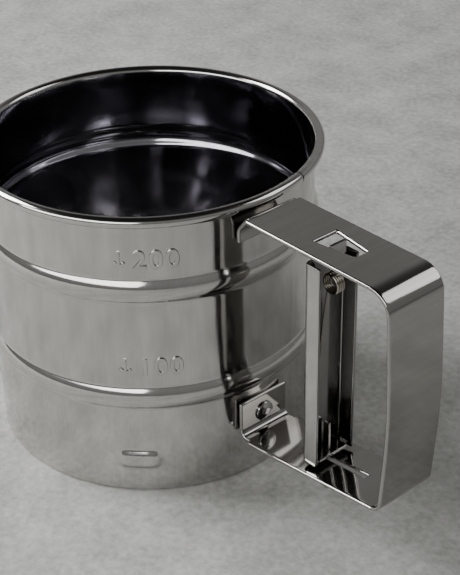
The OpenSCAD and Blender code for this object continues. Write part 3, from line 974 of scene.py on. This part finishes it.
def make_hub_bush():
    """The stepped bush that carries the star and the crank."""
    low, step, high = BUSH_LOW.z, CRANK_HIGH.z, BUSH_HIGH.z
    bore = AXLE_R + 0.05
    bush = lathe("bush_turning", [(bore, low), (3.1, low), (BUSH_R, low + 0.1), (BUSH_R, step),
                                  (3.9, step), (4.0, step + 0.1), (4.0, high - 0.15), (3.85, high),
                                  (bore + 0.1, high), (bore, high - 0.1)], 48)
    finish_piece(bush, "stirrer", ("hub_bush",), RIVET_STEEL)


def make_crank_pin():
    """The plain pin in the link's eye."""
    low, high = PIN_LOW.z, PIN_HIGH.z
    pin = lathe("pin_turning", [(AXIS_R, low), (PIN_R - 0.1, low), (PIN_R, low + 0.1), (PIN_R, high - 0.1),
                                (PIN_R - 0.1, high), (AXIS_R, high)], 32, (PIN_X, PIN_Y, 0))
    finish_piece(pin, "link", ("crank_pin",), RIVET_STEEL)


make_handle_rivet()
make_axle()
make_hub_bush()
make_crank_pin()


# ---- bridge, stirrer and link
def make_bridge():
    """The fixed spider, with an upright tab at the end of each arm."""
    outlines = [spider_points(HUB_R, POCKET_ANGLES, BRIDGE_ARM_HALF, BRIDGE_REACH), circle_points(2.02)]
    plate = plan_plate("bridge_plate", outlines, POCKET_Z - PLATE_T / 2, PLATE_T)
    half = BRIDGE_ARM_HALF - 0.1
    tab_low = (BRIDGE_REACH - 1, -half, POCKET_Z - 2.2)
    tab_high = (BRIDGE_REACH, half, POCKET_Z + 2.2)
    tabs = [soft_block("tab", tab_low, tab_high, 0.2, angle) for angle in POCKET_ANGLES]
    finish_piece(join(plate, tabs), "frame", ("bridge",), STAMPED_STEEL)


def make_star():
    """The stirrer's star, with a lip along one edge of each arm that sweeps the screen."""
    crank_angle = math.atan2(PIN_Y, PIN_X)
    arms = sorted((crank_angle + (i + 0.5) * TAU / STAR_ARMS) % TAU for i in range(STAR_ARMS))
    outlines = [spider_points(HUB_R, arms, STAR_ARM_HALF, STAR_REACH), circle_points(BUSH_R + 0.02)]
    plate = plan_plate("star_plate", outlines, STAR_Z, STAR_T, 0.1)
    lip_low = (HUB_R + 1, -STAR_ARM_HALF, STAR_Z - 1.4)
    lip_high = (STAR_REACH - 1, 0.6 - STAR_ARM_HALF, STAR_Z + 0.3)
    lips = [soft_block("lip", lip_low, lip_high, 0.1, angle) for angle in arms]
    finish_piece(join(plate, lips), "stirrer", ("stirrer_star",), STAMPED_STEEL)


def make_crank():
    """The crank: a round boss and an arm with a round end, slotted for the pin."""
    crank_angle = math.atan2(PIN_Y, PIN_X)
    pin_reach = math.hypot(PIN_X, PIN_Y)
    boss_r, arm_half = 7.5, 3.3
    slot = capsule_points(turned(13.6, 0, crank_angle), turned(pin_reach + 0.4, 0, crank_angle), 1.3)
    outline = []
    for turn in np.linspace(-math.pi / 2, math.pi / 2, 17):
        x, y = turned(arm_half, 0, turn)
        outline.append((pin_reach + 1 + x, y))
    root = math.asin(arm_half / boss_r)
    outline += [turned(boss_r, 0, turn) for turn in np.linspace(root, TAU - root, 49)]
    outline = [turned(x, y, crank_angle) for x, y in outline]
    crank = plan_plate("crank_plate", [outline, slot, circle_points(BUSH_R + 0.02)], CRANK_LOW.z, PLATE_T)
    finish_piece(crank, "stirrer", ("crank_arm",), STAMPED_STEEL)


def make_link():
    """The link: a strip on edge from the trigger's tongue to the rolled eye on the pin."""
    low, high = LINK_LOW.z, LINK_LOW.z + LINK_H
    tongue_l = 2.2
    end_x = WEB_X + TRIGGER_T + 0.7 + tongue_l
    plan = rounded_path([(end_x, 0), (24, 0), (8, PIN_Y), (PIN_X + 1.5, PIN_Y)], [3, 3], 8)
    normals = path_normals(plan)
    levels = (low, high)
    centre = np.array([[(x, y, z) for z in levels] for x, y in plan])
    across = np.array([[(nx, ny, 0) for _ in levels] for nx, ny in normals])
    bar = sheet_solid("link_strip", centre, across, np.ones((len(plan) - 1, 1), bool), 1.0)
    soften_edges(bar, 0.15, 2)
    eye = lathe("link_eye", ring_points(PIN_R + 0.02, 2.2, low, high, 0.15), 40, (PIN_X, PIN_Y, 0))
    tongue = soft_block("link_tongue", (end_x - tongue_l, -0.5, low + 0.05), (end_x, 0.5, LINK_HIGH.z), 0.2)
    finish_piece(join(bar, [eye, tongue]), "link", ("link_bar",), STAMPED_STEEL)


make_bridge()
make_star()
make_crank()
make_link()


# ---- screen
def make_screen():
    """Woven wires, over and under each other, inside a crimped band."""
    pitch, wire, weave = 1.4, 0.15, 0.1
    mid_z = (MESH_LOW.z + MESH_HIGH.z) / 2
    edge = MESH_HIGH.x
    count = int(edge / pitch)
    verts, faces = [], []
    for axis in (0, 1):
        for n in range(-count, count + 1):
            offset = (n + 0.5) * pitch
            if abs(offset) >= edge - 0.5:
                continue
            half = math.sqrt(edge ** 2 - offset ** 2)
            steps = int(half / (pitch / 2))
            base = len(verts)
            for k in range(-steps, steps + 1):
                along = k * pitch / 2
                over = 1 if (n + axis) % 2 else -1
                wave = over * weave * math.cos(math.pi * along / pitch - math.pi / 2)
                for dx, dz in ((wire, 0), (0, wire), (-wire, 0), (0, -wire)):
                    spot = (along, offset + dx) if axis == 0 else (offset + dx, along)
                    verts.append((*spot, mid_z + wave + dz))
            faces += [tuple(base + v for v in f) for f in loop_faces(2 * steps + 1, 4)]
    mesh = put_object("woven_screen", verts, faces)
    finish_piece(mesh, "frame", ("screen_mesh",), SCREEN_WIRE)


def make_band():
    """The band round the screen's edge: a channel, with fine crimps round its two lips."""
    outer, inner, low, high = BAND_HIGH.x, BAND_HIGH.x - 2.95, BAND_LOW.z, BAND_HIGH.z
    edge, leaf, crimp, crimps = 0.2, 0.4, 0.05, 72
    outline = [(inner, low + edge), (inner + edge, low), (outer - edge, low), (outer, low + edge),
               (outer, high - edge), (outer - edge, high), (inner + edge, high), (inner, high - edge),
               (inner + 0.05, high - leaf - 0.02), (outer - leaf, high - leaf - 0.02),
               (outer - leaf, low + leaf + 0.02), (inner + 0.05, low + leaf + 0.02)]
    band = lathe("crimped_band", outline, 4 * crimps)
    for vertex in band.data.vertices:
        x, y, z = vertex.co
        if math.hypot(x, y) < (outer - 0.5) * MM:
            way = 1 if z > (low + high) / 2 * MM else -1
            vertex.co.z += way * crimp * MM * math.sin(crimps * math.atan2(y, x))
    band.data.set_sharp_from_angle(angle=math.radians(50))
    finish_piece(band, "frame", ("screen_band",), BAND_STEEL)


make_screen()
make_band()


# ---- floor, light and camera
def make_floor():
    """A pale stone tabletop with broad patches and fine grit."""
    half = 2500
    corners = [(-half, -half, 0), (half, -half, 0), (half, half, 0), (-half, half, 0)]
    floor = put_object("tabletop", corners, [(0, 1, 2, 3)], smooth=False)
    stone = bpy.data.materials.new("pale_tabletop")
    stone.use_nodes = True
    tree = stone.node_tree
    surface = tree.nodes["Principled BSDF"]
    surface.inputs["Roughness"].default_value = 0.75
    where = add_node(tree, "ShaderNodeTexCoord")
    speck = add_node(tree, "ShaderNodeTexNoise", [("Vector", where.outputs["Object"])])
    speck.inputs["Scale"].default_value = 38
    speck.inputs["Detail"].default_value = 10
    speck.inputs["Roughness"].default_value = 0.72
    grit = add_node(tree, "ShaderNodeTexNoise", [("Vector", where.outputs["Object"])])
    grit.inputs["Scale"].default_value = 420
    grit.inputs["Detail"].default_value = 4
    grit.inputs["Roughness"].default_value = 0.6
    both = add_node(tree, "ShaderNodeMix", [("A", speck.outputs["Fac"]), ("B", grit.outputs["Fac"])])
    both.inputs["Factor"].default_value = 0.42
    patch = add_node(tree, "ShaderNodeMapRange", [("Value", both.outputs["Result"])])
    patch.inputs["From Min"].default_value = 0.38
    patch.inputs["From Max"].default_value = 0.62
    colour = add_node(tree, "ShaderNodeMix", [("Factor", patch.outputs[0])], data_type="RGBA")
    colour.inputs["A"].default_value = (0.345, 0.345, 0.327, 1)
    colour.inputs["B"].default_value = (0.61, 0.61, 0.588, 1)
    tree.links.new(colour.outputs["Result"], surface.inputs["Base Color"])
    floor.data.materials.append(stone)


def outward(azimuth, elevation):
    """The direction that an azimuth and an elevation point in."""
    flat = math.cos(elevation)
    return Vector((flat * math.cos(azimuth), flat * math.sin(azimuth), math.sin(elevation)))


def panel(name, azimuth, elevation, distance, width, height, power):
    """A soft light panel that faces the cup."""
    light = bpy.data.lights.new(name, "AREA")
    light.shape = "RECTANGLE"
    light.size = width
    light.size_y = height
    light.energy = power
    holder = bpy.data.objects.new(name, light)
    bpy.context.scene.collection.objects.link(holder)
    spot = outward(math.radians(azimuth), math.radians(elevation)) * distance
    holder.location = spot + Vector((0.03, 0, 0.05))
    holder.rotation_euler = (-spot).to_track_quat("-Z", "Y").to_euler()


def make_room():
    """Soft grey room: paler towards the walls, dark overhead."""
    world = bpy.data.worlds.new("studio")
    bpy.context.scene.world = world
    world.use_nodes = True
    tree = world.node_tree
    sky = tree.nodes["Background"]
    where = add_node(tree, "ShaderNodeTexCoord")
    split = add_node(tree, "ShaderNodeSeparateXYZ", [("Vector", where.outputs["Generated"])])
    ramp = add_node(tree, "ShaderNodeValToRGB", [("Fac", split.outputs["Z"])])
    stops = ((0.0, 0.20), (0.50, 0.25), (0.68, 0.09), (0.82, 0.02), (0.95, 0.015))
    for k, (place, value) in enumerate(stops):
        stop = ramp.color_ramp.elements[k] if k < 2 else ramp.color_ramp.elements.new(place)
        stop.position = place
        stop.color = (value, value, value * 0.98, 1)
    tree.links.new(ramp.outputs["Color"], sky.inputs["Color"])
    sky.inputs["Strength"].default_value = 1.0


def make_camera():
    """The camera: where it looks, from how far and from which side, and its slight roll."""
    target = Vector((15.56, 18.03, 39.91)) * MM
    distance = 0.4554
    roll = math.radians(-1.03)
    back = outward(math.radians(-40.81), math.radians(31.55))
    lens = bpy.data.cameras.new("camera")
    lens.lens = 91.2
    lens.sensor_width = 36
    camera = bpy.data.objects.new("camera", lens)
    bpy.context.scene.collection.objects.link(camera)
    turn = back.to_track_quat("Z", "Y").to_matrix() @ Matrix.Rotation(roll, 3, "Z")
    camera.matrix_world = Matrix.Translation(target + back * distance) @ turn.to_4x4()
    bpy.context.scene.camera = camera


make_floor()
make_room()
panel("front_panel", azimuth=-84, elevation=27, distance=1.0, width=1.36, height=0.31, power=6.1)
panel("left_panel", azimuth=-150, elevation=35, distance=1.0, width=0.5, height=0.5, power=11.5)
panel("back_panel", azimuth=58, elevation=38, distance=1.2, width=0.6, height=0.6, power=2.2)
make_camera()
